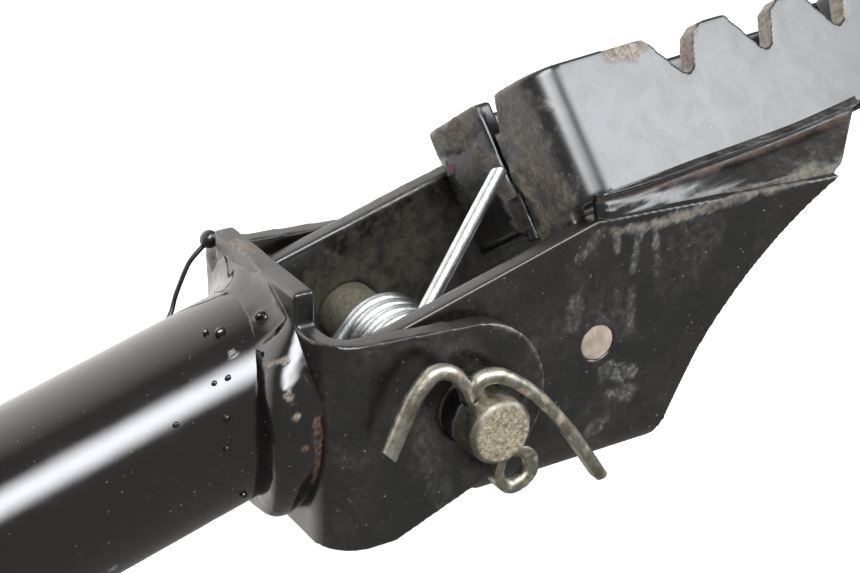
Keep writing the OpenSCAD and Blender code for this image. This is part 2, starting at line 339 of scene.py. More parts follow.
# ---- shader helpers ----
class Paint:
    """A material and short ways to add nodes to it. Coordinates are the object's own, in mm."""

    def __init__(self, name):
        self.material = bpy.data.materials.new(name)
        self.material.use_nodes = True
        self.tree = self.material.node_tree
        self.shader = next(n for n in self.tree.nodes if n.type == "BSDF_PRINCIPLED")
        coords = self.add("ShaderNodeTexCoord").outputs["Object"]
        self.mm = self.add("ShaderNodeVectorMath", {0: coords, "Scale": 1000.0}, operation="SCALE").outputs[0]

    def add(self, kind, inputs=None, **properties):
        node = self.tree.nodes.new(kind)
        for key, value in properties.items():
            setattr(node, key, value)
        for key, value in (inputs or {}).items():
            if isinstance(value, bpy.types.NodeSocket):
                self.tree.links.new(value, node.inputs[key])
            else:
                node.inputs[key].default_value = value
        return node

    def math(self, kind, a, b=0.0, c=0.0, clamp=False):
        return self.add("ShaderNodeMath", {0: a, 1: b, 2: c}, operation=kind, use_clamp=clamp).outputs[0]

    def noise(self, size_mm, detail=2.0, rough=0.5, warp=0.0, stretch=None, shift=(0, 0, 0)):
        where = self.add("ShaderNodeMapping", {
            "Vector": self.mm, "Location": shift,
            "Scale": tuple(s / size_mm for s in (stretch or (1, 1, 1)))}).outputs[0]
        return self.add("ShaderNodeTexNoise", {
            "Vector": where, "Scale": 1.0, "Detail": detail, "Roughness": rough,
            "Distortion": warp}).outputs[0]

    def cells(self, size_mm, shift=(0, 0, 0)):
        where = self.add("ShaderNodeMapping", {
            "Vector": self.mm, "Location": shift, "Scale": (1 / size_mm,) * 3}).outputs[0]
        return self.add("ShaderNodeTexVoronoi", {"Vector": where, "Scale": 1.0}).outputs["Distance"]

    def step(self, value, low, high, out_low=0.0, out_high=1.0):
        return self.add("ShaderNodeMapRange", {
            0: value, 1: low, 2: high, 3: out_low, 4: out_high}, interpolation_type="SMOOTHSTEP").outputs[0]

    def mask(self, name):
        return self.add("ShaderNodeAttribute", attribute_name=name).outputs["Fac"]

    def mix(self, factor, a, b):
        return self.add("ShaderNodeMix", {0: factor, 6: a, 7: b}, data_type="RGBA").outputs[2]

    def blend(self, factor, a, b):
        return self.add("ShaderNodeMix", {0: factor, 2: a, 3: b}, data_type="FLOAT").outputs[0]

    def bump(self, height, strength, depth_mm, normal=None):
        inputs = {"Height": height, "Strength": strength, "Distance": depth_mm * MM}
        if normal is not None:
            inputs["Normal"] = normal
        return self.add("ShaderNodeBump", inputs).outputs[0]

    def put(self, socket, value):
        if isinstance(value, bpy.types.NodeSocket):
            self.tree.links.new(value, self.shader.inputs[socket])
        else:
            self.shader.inputs[socket].default_value = value


def rgb(r, g, b):
    """A colour given as 0-255 display values."""
    linear = [(c / 255) / 12.92 if c <= 10 else ((c / 255 + 0.055) / 1.055) ** 2.4 for c in (r, g, b)]
    return (*linear, 1.0)


def black_paint(name, gloss, dust, seed, grain, tint=(10, 9, 9), cast=(14, 12, 11), chips=0.5,
                smudged=0.12):
    """Thick black paint: dusty film, specks, worn edges, and mud and rust where the masks say. The scuff and
    mud masks also carry some painted highlights and painted light.
    """
    p = Paint(name)
    shift = (seed * 31.7, seed * 17.1, seed * 7.3)
    blotch = p.noise(13, 4, 0.6, 0.4, shift=shift)
    fine = p.noise(1.1, 4, 0.65, shift=shift)
    film = p.math("MULTIPLY", p.step(blotch, 0.42, 0.78), p.step(fine, 0.3, 0.75), clamp=True)
    film = p.math("MULTIPLY", film, dust)
    colour = p.mix(p.step(p.noise(24, 2, 0.5, shift=shift), 0.4, 0.7), rgb(*tint), rgb(*cast))
    colour = p.mix(film, colour, rgb(96, 89, 80))
    # Pale specks of grit caught in the paint
    specks = p.math("MULTIPLY", p.step(p.cells(0.95, shift), 0.16, 0.08), p.step(fine, 0.5, 0.62))
    specks = p.math("MULTIPLY", specks, p.math("ADD", dust, 0.35))
    colour = p.mix(specks, colour, rgb(140, 132, 120))
    # Outer edges wear through to pale metal
    ragged = p.math("MULTIPLY", p.math("SUBTRACT", p.noise(0.8, 4, 0.7, shift=shift), 0.5), 0.9)
    torn = p.math("ADD", p.mask("wear"), ragged)
    chip = p.math("MULTIPLY", p.step(torn, 0.52, 0.62), chips, clamp=True)
    metal = p.mix(p.noise(0.6, 3), rgb(92, 88, 82), rgb(160, 157, 152))
    colour = p.mix(chip, colour, metal)
    # Bare beige spots where the paint has gone
    bare = p.mask("bare")
    beige = p.mix(p.step(p.noise(0.8, 5, 0.75, shift=shift), 0.35, 0.68), rgb(74, 60, 46), rgb(148, 136, 120))
    colour = p.mix(bare, colour, beige)
    rust = p.math("MULTIPLY", p.mask("rust"), p.step(p.noise(0.55, 5, 0.8, shift=shift), 0.36, 0.5))
    orange = p.mix(p.step(p.noise(0.7, 5, 0.75, shift=shift), 0.4, 0.65), rgb(46, 28, 20), rgb(122, 78, 44))
    colour = p.mix(rust, colour, orange)
    # Pale grey marks: rubbed paint, and along some rims and crests a painted highlight
    hatch = p.noise(0.9, 5, 0.75, 0.4, stretch=(1.1, 1, 0.7), shift=shift)
    scuff_and_highlight = p.math("MULTIPLY", p.mask("scuff_and_highlight"), p.step(hatch, 0.42, 0.72, 0.08, 0.75), clamp=True)
    colour = p.mix(scuff_and_highlight, colour, rgb(118, 116, 112))
    # Mud colour. One broad patch of it, on the bracket's inner far wall, is painted light that lifts a wall
    # lying in shade
    mud_and_painted_light = p.mask("mud_and_painted_light")
    clods = p.step(p.noise(2.2, 6, 0.75, 0.6, shift=shift), 0.36, 0.66)
    colour = p.mix(mud_and_painted_light, colour, p.mix(clods, rgb(40, 36, 30), rgb(112, 103, 88)))
    p.put("Base Color", colour)
    smudge = p.noise(5, 4, 0.6, 0.6, shift=shift)
    rough = p.math("ADD", p.step(smudge, 0.3, 0.75, gloss, gloss + smudged), p.math("MULTIPLY", film, 0.5))
    rough = p.blend(chip, rough, 0.45)
    rough = p.blend(bare, rough, 0.6)
    rough = p.blend(rust, rough, 0.75)
    rough = p.blend(scuff_and_highlight, rough, 0.6)
    rough = p.blend(mud_and_painted_light, rough, 0.9)
    p.put("Roughness", rough)
    p.put("Metallic", p.math("MULTIPLY", chip, 0.7))
    p.put("IOR", 1.8)
    peel = p.bump(p.noise(2.6, 2, 0.5, shift=shift), grain, 0.05)
    grit = p.bump(p.noise(0.45, 3, 0.7, shift=shift), 0.25 * grain, 0.03, peel)
    dirty = p.math("ADD", mud_and_painted_light, p.math("ADD", rust, bare), clamp=True)
    crust = p.math("MULTIPLY", dirty, p.noise(0.7, 5, 0.75, shift=shift))
    p.put("Normal", p.bump(crust, 0.6, 0.2, grit))
    return p.material


def bare_metal(name, dark, light, rough, stained, seed, stain=(120, 104, 70), pits=0.4):
    """Plated or bare steel with stains and small pits."""
    p = Paint(name)
    shift = (seed * 13.7, seed * 5.1, seed * 9.3)
    patch = p.noise(2.4, 4, 0.65, 0.5, shift=shift)
    fine = p.noise(0.4, 4, 0.7, shift=shift)
    colour = p.mix(p.step(patch, 0.3, 0.7), rgb(*dark), rgb(*light))
    spots = p.step(p.noise(1.1, 5, 0.75, 0.3, shift=shift), 0.5, 0.72)
    marks = p.math("MULTIPLY", spots, stained, clamp=True)
    colour = p.mix(marks, colour, rgb(*stain))
    crust = p.mask("bare")
    grains = p.step(p.noise(0.6, 6, 0.85, shift=shift), 0.36, 0.66)
    colour = p.mix(crust, colour, p.mix(grains, rgb(78, 64, 44), rgb(160, 152, 130)))
    rust = p.mask("rust")
    colour = p.mix(rust, colour, p.mix(fine, rgb(70, 40, 24), rgb(150, 92, 50)))
    paint = p.mask("paint")
    colour = p.mix(paint, colour, rgb(10, 9, 9))
    p.put("Base Color", colour)
    r = p.math("ADD", p.step(fine, 0.3, 0.8, rough, rough + 0.2), p.math("MULTIPLY", marks, 0.3))
    r = p.blend(crust, r, 0.75)
    p.put("Roughness", p.blend(paint, p.blend(rust, r, 0.8), 0.22))
    dull = p.math("MAXIMUM", p.math("MULTIPLY", crust, 0.8), p.math("MAXIMUM", rust, paint))
    p.put("Metallic", p.math("SUBTRACT", 1.0, dull, clamp=True))
    p.put("Normal", p.bump(fine, pits, 0.04, p.bump(patch, 0.3, 0.06)))
    return p.material


# ---- masks ----
def strokes(points, marks, ragged=0.5, size=2.2, seed=1):
    """Ragged-edged marks along lines. Each mark is (line of points, radius, strength), in mm."""
    rough = ragged * fractal(points, size, seed, 4) + 0.8 * ragged * fractal(points, 0.3 * size, seed + 3, 3)
    out = np.zeros(len(points))
    for line, radius, strength in marks:
        line = [np.array(q, float) for q in line]
        best = np.full(len(points), 1e9)
        for a, b in zip(line, line[1:] if len(line) > 1 else line):
            d = b - a
            t = np.clip(((points - a) @ d) / max(d @ d, 1e-9), 0, 1)
            best = np.minimum(best, np.linalg.norm(points - a - t[:, None] * d, axis=1))
        out = np.maximum(out, strength * smoothstep(1 - best / radius + rough, 0.0, 0.35))
    return out


def dress(obj, at, wear=1.0, mud_and_painted_light=(), rust=(), bare=(), scuff_and_highlight=(), rounds=4, swell=0.25, dig=0.12, seed=3):
    """Stores the masks on the mesh. Mud and rust stand proud of the surface a little, and bare spots sink."""
    here = points_of(obj, at)
    edge = edge_measure(obj, rounds)
    uneven = 0.55 + 0.45 * fractal(here, 9, seed + 40, 2)
    set_mask(obj, "wear", edge * uneven * wear)
    masks = {"mud_and_painted_light": strokes(here, mud_and_painted_light, seed=seed), "rust": strokes(here, rust, seed=seed + 7),
             "bare": strokes(here, bare, seed=seed + 15), "scuff_and_highlight": strokes(here, scuff_and_highlight, seed=seed + 31)}
    for name, values in masks.items():
        set_mask(obj, name, values)
    crumbs = 0.55 + 0.45 * fractal(here, 1.3, seed + 20, 3)
    lift = swell * (masks["mud_and_painted_light"] + 0.4 * masks["rust"]) * crumbs - dig * masks["bare"]
    move_points(obj, normals_of(obj) * lift[:, None])


# ---- materials ----
ARM = black_paint("arm_black_paint", gloss=0.23, dust=0.34, seed=1, grain=0.3)
TUBE = black_paint("tube_black_paint", gloss=0.1, dust=0.05, seed=2, grain=0.12, tint=(9, 7, 7),
                   cast=(17, 9, 9), smudged=0.05)
PEG = black_paint("peg_black_paint", gloss=0.26, dust=0.32, seed=3, grain=0.5, tint=(12, 11, 10),
                  cast=(18, 14, 12))
TREAD = black_paint("tread_black_paint", gloss=0.24, dust=0.1, seed=4, grain=0.12, tint=(12, 12, 13),
                    cast=(12, 12, 14), smudged=0.06)
BEAD = black_paint("weld_black_paint", gloss=0.08, dust=0.1, seed=5, grain=0.2, smudged=0.06)
WHISKER = black_paint("whisker_black_paint", gloss=0.25, dust=0.15, seed=6, grain=0.3)
PIN = bare_metal("pin_zinc", (112, 110, 98), (158, 155, 142), rough=0.34, stained=0.35, seed=1,
                 stain=(96, 88, 58))
COTTER = bare_metal("cotter_steel", (138, 134, 118), (198, 195, 182), rough=0.32, stained=0.5, seed=2,
                    stain=(120, 108, 70))
SPRING = bare_metal("spring_zinc", (188, 192, 192), (226, 228, 226), rough=0.28, stained=0.1, seed=3,
                    pits=0.2)
WASHER = bare_metal("washer_zinc", (120, 116, 98), (176, 170, 150), rough=0.36, stained=0.4, seed=4)


def clay():
    p = Paint("dried_clay")
    patch = p.noise(2.2, 4, 0.6)
    p.put("Base Color", p.mix(p.step(patch, 0.3, 0.7), rgb(122, 108, 94), rgb(150, 138, 126)))
    p.put("Roughness", p.step(p.noise(0.6, 3), 0.3, 0.7, 0.75, 0.95))
    p.put("Normal", p.bump(p.noise(0.5, 4, 0.7), 0.4, 0.06))
    return p.material


CLAY = clay()


# ---- arm ----
def make_tube():
    """The tube, with the slight waves and dents of a welded, painted tube."""
    low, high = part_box("support_tube")
    start, end = low.x / MM, high.x / MM
    around, along = 256, 300
    inner = TUBE_R - TUBE_WALL
    verts, faces = [], []
    for shell, radius in ((0, TUBE_R), (1, inner)):
        for i in range(along + 1):
            x = start + (end - start) * i / along
            for k in range(around):
                a = 2 * math.pi * k / around
                verts.append((x, radius * math.cos(a), radius * math.sin(a)))
    size = (along + 1) * around
    for shell in (0, 1):
        for i in range(along):
            for k in range(around):
                a, b = i * around + k, i * around + (k + 1) % around
                c, d = b + around, a + around
                quad = [shell * size + q for q in (a, b, c, d)]
                faces.append(quad if shell else quad[::-1])
    for i in (0, along):
        for k in range(around):
            a, b = i * around + k, i * around + (k + 1) % around
            quad = [a, b, size + b, size + a]
            faces.append(quad if i == 0 else quad[::-1])
    obj = from_data("tube_finished", verts, faces, AT_ROW)
    here = points_of(obj)
    outward = here * np.array([0, 1, 1])
    radius = np.linalg.norm(outward, axis=1)
    outward /= radius[:, None]
    # The end against the clevis is cut to the web's slope
    slope = np.array(AT_CLEVIS.inverted())[0, 0]
    clearance = 0.02
    past = np.maximum(points_of(obj, AT_CLEVIS)[:, 0] + WEB_OUT + clearance, 0) / slope
    wave = 0.05 * fractal(here * np.array([0.6, 1, 1]), 13, 5, 2) + 0.012 * fractal(here, 3.5, 9, 2)
    dents = np.zeros(len(here))
    for x, angle, r, deep in ((128, -58, 2.4, 0.14), (119, -61, 1.8, 0.1), (94, -38, 3, 0.08),
                              (60, -75, 4, 0.1)):
        a = math.radians(180 - angle)
        spot = np.array([x, TUBE_R * math.cos(a), TUBE_R * math.sin(a)])
        dents -= deep * smoothstep(1 - np.linalg.norm(here - spot, axis=1) / r, 0, 1)
    lift = np.where(radius > TUBE_R - 1, wave - 0.06 + dents, 0)
    move_points(obj, outward * lift[:, None] - past[:, None] * np.array([1, 0, 0]))
    dress(obj, AT_ROW, wear=0.0, swell=0,
          bare=[([(112, -12.2, -7.3)], 0.8, 0.8), ([(139, -8, 11.8)], 0.5, 0.9)], seed=11)
    finish_piece(obj, "arm", "arm_paint", TUBE, "support_tube")


def make_flange():
    obj = refined("mount_flange", "flange_finished", AT_ROW, 0.5, 3)
    dress(obj, AT_ROW, wear=0.8, rust=[([(0, 25, 6), (0, 27, -6)], 3, 0.4)], seed=12)
    finish_piece(obj, "arm", "arm_paint", ARM, "mount_flange")
    bead = refined("flange_weld", "flange_bead", AT_ROW, 0.4, 2)
    here = points_of(bead)
    turn = np.arctan2(here[:, 2], here[:, 1])
    ripple = np.abs(np.sin(turn * 24 + 2.5 * np.clip(here[:, 0] - 5, 0, 4)))
    move_points(bead, normals_of(bead) * (-0.28 * ripple + 0.1 * fractal(here, 4, 21, 2) - 0.1)[:, None])
    dress(bead, AT_ROW, wear=0.4, seed=13)
    finish_piece(bead, "arm", "weld_bead", BEAD, "flange_weld")


def off_bore(here):
    """0 at the pin's bore and 1 away from it, so that relief can't narrow the bore."""
    return smoothstep(np.hypot(here[:, 0], here[:, 2]), 5.2, 6.5)


def make_clevis():
    obj = refined("clevis", "clevis_finished", AT_CLEVIS, 0.42, 3)
    here = points_of(obj, AT_CLEVIS)
    waves = 0.1 * fractal(here, 11, 31, 2) + 0.03 * fractal(here, 3, 33, 2) - 0.08
    move_points(obj, normals_of(obj) * (waves * off_bore(here))[:, None])
    ear_r = 12.7
    # The pale line round the near ear's rounded rim is a painted highlight along its edge
    rim = [(ear_r * math.cos(a), -21.5, ear_r * math.sin(a)) for a in np.radians(range(-70, 71, 10))]
    dress(obj, AT_CLEVIS, wear=0.95, scuff_and_highlight=[(rim, 0.5, 0.9), ([(-9, -21.6, 2), (-4, -21.6, -14)], 2.2, 0.25)],
          bare=[([(-21.5, 4, 19.3), (-21.5, 7, 19.2)], 1.9, 0.55)],
          mud_and_painted_light=[([(-21, 14, 14), (-18, 19, 12)], 2.6, 0.5), ([(-19, 12, 17), (-17, 14, 12)], 2.0, 0.45)],
          rust=[([(-17, -18.6, 2), (-17.5, -18.4, -6)], 1.2, 0.6), ([(-20.5, -14.6, -10)], 1.4, 0.5)],
          seed=14)
    finish_piece(obj, "arm", "arm_paint", ARM, "clevis")


def web_face_x(y, z):
    """Row-frame x of the clevis's outer face, bend included, at the given y and z, in mm."""
    over = np.clip(np.abs(y) - BEND_Y, 0, BEND_R)
    face = -WEB_OUT + BEND_R - np.sqrt(BEND_R ** 2 - over ** 2)
    return PIVOT.x / MM + (face + (z - PIVOT.z / MM) * math.sin(PITCH)) / math.cos(PITCH)


def make_clevis_weld():
    """The fat bead round the tube. It fills the corner, with one glossy lobe on the near side.

    turn is the angle round the tube, from the top towards the near side. At each stop stand the bead's
    reach along the tube and its climb up the web, in mm.
    """
    stops = [-180, -140, -90, -40, 0, 20, 39, 64, 85, 115, 140, 180]
    on_tube = [5, 4.6, 4.5, 3.5, 2.8, 3.4, 4.6, 6.5, 7.0, 6.1, 5.4, 5]
    on_web = [3.3, 3.8, 4.2, 4.2, 4.1, 4.1, 3.9, 4.3, 4.4, 4.3, 4.2, 3.3]
    around, across = 300, 18
    root = TUBE_R - 0.8
    buried = 0.8
    verts, faces = [], []
    for i in range(around):
        turn = -180 + 360 * i / around
        a = math.radians(turn)
        out = np.array([0, -math.sin(a), math.cos(a)])
        reach, climb = np.interp(turn, stops, on_tube), np.interp(turn, stops, on_web)
        lobe = math.sin(math.pi * min(max((turn - 37) / 135, 0), 1) ** 0.7) ** 0.8
        swell = -1.2 + 0.9 * float(smoothstep(abs(turn), 100, 150)) + 4.3 * lobe
        foot = out * TUBE_R
        toe_x = float(web_face_x(0.0, foot[2])) - reach
        top = out * (TUBE_R + climb)
        top_x = float(web_face_x(top[1], top[2]))
        ring = [np.array([toe_x, 0, 0]) + out * root]
        for k in range(across + 1):
            v = k / across
            bulge = swell * 4 * v * (1 - v) / math.sqrt(2)
            ring.append(np.array([toe_x * (1 - v) + top_x * v - bulge, 0, 0])
                        + out * (TUBE_R + climb * v + bulge))
        ring.append(np.array([top_x + buried, 0, 0]) + top)
        ring.append(np.array([top_x + buried, 0, 0]) + out * root)
        verts += ring
    n = across + 4
    for i in range(around):
        for k in range(n):
            a, b = i * n + k, i * n + (k + 1) % n
            c, d = ((i + 1) % around) * n + (k + 1) % n, ((i + 1) % around) * n + k
            faces.append([a, b, c, d])
    obj = from_data("clevis_bead", verts, faces, AT_ROW)
    turn_outwards(obj, [lump((-24.6, -6.2, 14.3), (0.9, 0.8, 0.6), AT_CLEVIS, 61)])
    remeshed(obj, AT_CLEVIS, 0.3, 3)
    here = points_of(obj, AT_CLEVIS)
    waves = 0.22 * fractal(here, 5, 35, 2) + 0.05 * fractal(here, 1.5, 36, 2) - 0.05
    pore_at, pore_r = np.array([-25.2, -7.5, -14.6]), 1.1
    pore = -0.7 * smoothstep(1 - np.linalg.norm(here - pore_at, axis=1) / pore_r, 0, 1)
    move_points(obj, normals_of(obj) * (waves + pore)[:, None])
    dress(obj, AT_CLEVIS, wear=0.0,
          bare=[([(-25.9, -18.2, 7.4)], 1.5, 1.0), ([(-25.6, -18.8, 4.4)], 0.8, 0.9),
                ([(-27.5, -12.5, 10.2), (-25, -14.5, 11)], 0.45, 0.8)],
          rust=[([(-22.6, -18.9, 3), (-22.5, -18.8, -2), (-22.6, -17.5, -8)], 0.8, 0.6),
                ([(-25.9, -18.2, 7.4)], 1.3, 0.6), ([(-24.6, -19, -0.5)], 0.7, 0.9),
                ([(-26.5, -18, -3)], 0.45, 0.8)], seed=15)
    finish_piece(obj, "arm", "weld_bead", BEAD, "clevis_weld")


def make_spatter():
    """Droplets flattened onto the tube: distance along from the pin, angle round the tube, radius."""
    places = [(-25.8, 70, 0.75), (-27.4, 75, 0.5), (-28.4, 44, 0.45), (-30.4, 45, 0.4),
              (-31.2, 25, 0.5), (-37.8, 35, 0.45), (-33, 10, 0.45), (-32.6, -29, 0.5)]
    drops = []
    for i, (x, turn, r) in enumerate(places):
        a = math.radians(turn)
        centre = np.array([0, -math.cos(a), math.sin(a)]) * (TUBE_R + 0.35 * r)
        centre += np.array([PIVOT.x / MM + x, 0, 0])
        drops.append(lump(centre, (r, 0.85 * r, 0.9 * r), AT_ROW, 70 + i, 0.22))
    obj = joined("droplets", drops)
    dress(obj, AT_ROW, wear=0.0, seed=16)
    finish_piece(obj, "arm", "weld_bead", BEAD, "weld_spatter")


def make_whisker():
    route = [(-29.5, 13.2, 12.85), (-26.4, 14.6, 14.4), (-24.4, 15.2, 16.6), (-21, 15.5, 20),
             (-17.9, 15.5, 21.6), (-17.2, 15.5, 21.9)]
    wire = swept("wire", smooth_path(route, 8), ring_section(0.4, 14), (0, 1, 0), AT_PIVOT)
    ball = lump((-16.9, 15.5, 22.1), (1.4, 1.4, 1.4), AT_PIVOT, 91, 0.05)
    obj = joined("whisker", (wire, ball))
    remeshed(obj, AT_PIVOT, 0.1, 2)
    here = points_of(obj)
    move_points(obj, normals_of(obj) * (0.04 * fractal(here, 1.2, 92, 2) - 0.02)[:, None])
    dress(obj, AT_PIVOT, wear=0.0, swell=0, seed=17)
    finish_piece(obj, "arm", "whisker_wire", WHISKER, "wire_whisker")


# ---- pin, washer, split pin ----
def make_pin():
    obj = refined("clevis_pin", "pin_finished", AT_PIVOT, 0.3, 2)
    here = points_of(obj, AT_PIVOT)
    face = smoothstep(here[:, 1], -29.9, -30.3)
    shank = smoothstep(here[:, 1], -21.0, -22.0)
    pits = 0.1 * fractal(here, 1.3, 95, 3) * face - 0.04 * shank + 0.03 * fractal(here, 2, 96, 2) * shank
    pits = np.where(here[:, 1] < -29, np.minimum(pits, 0), pits)
    move_points(obj, normals_of(obj) * pits[:, None])
    dress(obj, AT_PIVOT, wear=0.6, swell=0.0, dig=0.0, seed=18)
    rim = smoothstep(np.hypot(here[:, 0], here[:, 2]), 4.5, 3.9)
    set_mask(obj, "bare", np.maximum(face * rim, 0.5 * smoothstep(here[:, 1], -15, -13)))
    set_mask(obj, "rust", 0.35 * shank * (1 - face) * smoothstep(fractal(here, 2.2, 98, 3), 0.1, 0.5))
    set_mask(obj, "paint", smoothstep(here[:, 1] + 1.6 * fractal(here, 3, 102, 3), -25.6, -24.6) * shank)
    finish_piece(obj, "pin", "pin_zinc", PIN, "clevis_pin")
    washer = refined("pin_washer", "washer_finished", AT_PIVOT, 0.25, 2)
    dress(washer, AT_PIVOT, wear=0.5, seed=19)
    finish_piece(washer, "pin", "pin_zinc", WASHER, "pin_washer")


def make_cotter():
    """Split pin of half-round wire, both legs bent over the pin and the eye under it."""
    y = -25.6
    half = [(1.3 * math.cos(a), 1.3 * math.sin(a)) for a in np.radians(np.linspace(-125, 125, 26))]
    lean = math.radians(12.7)
    up = np.array([-math.sin(lean), 0, math.cos(lean)])
    across_pin = np.array([math.cos(lean), 0, math.sin(lean)])
    eye, eye_r = -10.2 * up, 3.0
    left = [(-2.2, 8.2), (-3.6, 10.3), (-5.4, 11.1), (-7.2, 10.5), (-9.8, 8.6), (-15.2, 2.7)]
    right = [(0.6, 6.3), (2.9, 5.9), (5, 4.1), (8, -0.3), (10.2, -5), (12.3, -10.4), (15.1, -19.6)]
    parts = []
    for sign, bend in ((-1, left), (1, right)):
        loop = [eye + eye_r * (across_pin * sign * math.sin(a) - up * math.cos(a))
                for a in np.radians([-9, 30, 60, 90, 120, 145])]
        neck = [-6.4 * up + across_pin * sign * 0.62, -3.5 * up + across_pin * sign * 0.45,
                across_pin * sign * 0.45, 4.2 * up + across_pin * sign * 0.5]
        points = loop + neck + [np.array([a, 0, b]) for a, b in bend]
        path = smooth_path([p + np.array([0, y, 0]) for p in points], 9)
        inwards = across_pin * sign * -1 + up * 0.01
        parts.append(swept("leg", path, half, inwards, AT_PIVOT, cut_end=0.35 * sign))
    obj = joined("split_pin", parts)
    turn_outwards(obj)
    here = points_of(obj, AT_PIVOT)
    move_points(obj, normals_of(obj) * (0.03 * fractal(here, 1.5, 99, 3) - 0.02)[:, None])
    dress(obj, AT_PIVOT, wear=0.7, seed=20)
    set_mask(obj, "rust", 0.5 * smoothstep(fractal(here, 1.4, 100, 4), 0.25, 0.5))
    finish_piece(obj, "pin", "cotter_steel", COTTER, "cotter_pin", crisp=42)


# ---- spring ----
def make_spring():
    mean_r, wire_r = 6.5, 1.15
    near_y, far_y = -10.35, 3.75
    first, turned = 117.8, 2167.2
    steps = 420
    coil = []
    for i in range(steps + 1):
        s = i / steps
        a = math.radians(first + turned * s)
        coil.append((mean_r * math.cos(a), near_y + (far_y - near_y) * s, mean_r * math.sin(a)))
    near_tip, far_tip = np.array([22.9, -1.95, 19.95]), np.array([-20.3, far_y, -6.3])
    leg_a = [near_tip + (np.array(coil[0]) - near_tip) * t for t in np.linspace(0, 1, 40)[:-1]]
    leg_b = [np.array(coil[-1]) + (far_tip - np.array(coil[-1])) * t for t in np.linspace(0, 1, 26)[1:]]
    path = np.array(leg_a + [np.array(c) for c in coil] + leg_b)
    # Each leg leaves the coil in a small bend
    for _ in range(6):
        path[1:-1] = path[1:-1] * 0.5 + (path[:-2] + path[2:]) * 0.25
    obj = swept("spring_coil", path, ring_section(wire_r, 22), (0, 1, 0), AT_PIVOT, cut_start=0.55)
    here = points_of(obj, AT_PIVOT)
    move_points(obj, normals_of(obj) * (0.012 * fractal(here, 1.5, 101, 2) - 0.01)[:, None])
    dress(obj, AT_PIVOT, wear=0.2, swell=0, dig=0, seed=21)
    finish_piece(obj, None, "spring_zinc", SPRING, "return_spring", crisp=50)
    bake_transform(obj)


# ---- peg ----
# Pale rubbed marks on the bracket's near wall: x and z of each end, radius, strength
SCUFFS = [([(x0, -WALL_OUT, z0), (x1, -WALL_OUT, z1)], r, strength) for x0, z0, x1, z1, r, strength in (
    (22.4, 4.1, 21.0, 0.4, 1.5, 0.6), (24.7, -10.4, 29.0, -12.9, 1.7, 0.9),
    (24.4, -14.6, 27.9, -16.1, 1.5, 0.8), (29.5, 12.5, 24.9, 10.2, 1.1, 0.6),
    (35.2, 8.6, 33.0, 4.0, 0.8, 0.9), (32.0, 0.6, 30.2, -5.7, 0.7, 0.6),
    (22.7, -18.0, 19.8, -18.6, 1.2, 0.7), (38.0, 6.5, 37.0, 1.0, 0.6, 0.5))]


def make_bracket():
    obj = refined("peg_bracket", "bracket_finished", AT_PIVOT, 0.45, 3)
    here = points_of(obj, AT_PIVOT)
    waves = 0.1 * fractal(here, 14, 41, 2) + 0.03 * fractal(here, 3.2, 42, 2) - 0.08
    # Neither waves nor dirt may narrow the bore that the pin runs in
    bore = off_bore(here)
    move_points(obj, normals_of(obj) * (waves * bore)[:, None])
    near = -WALL_OUT
    dress(obj, AT_PIVOT, wear=1.0,
          mud_and_painted_light=[([(31, near, 11.6), (37, near, 9.2), (46, near, 7.2), (57, near, 5), (66, near, 2.5)],
                0.9, 0.75),
               # This broad pale patch on the inner far wall is painted light, lifting a wall that lies in
               # shade
               ([(2, 14, -2), (30, 14, 6)], 15, 0.3),
               ([(31.5, near, 11), (31, near, 8.2)], 0.7, 0.6),
               ([(38, near, 8.6), (37.5, near, 5.5)], 0.6, 0.6)],
          scuff_and_highlight=SCUFFS, rust=[([(20, 18, 14), (26, 18, 13)], 1.5, 0.4)], swell=0.25 * bore,
          dig=0.12 * bore, seed=22)
    finish_piece(obj, "peg", "peg_paint", PEG, "peg_bracket")


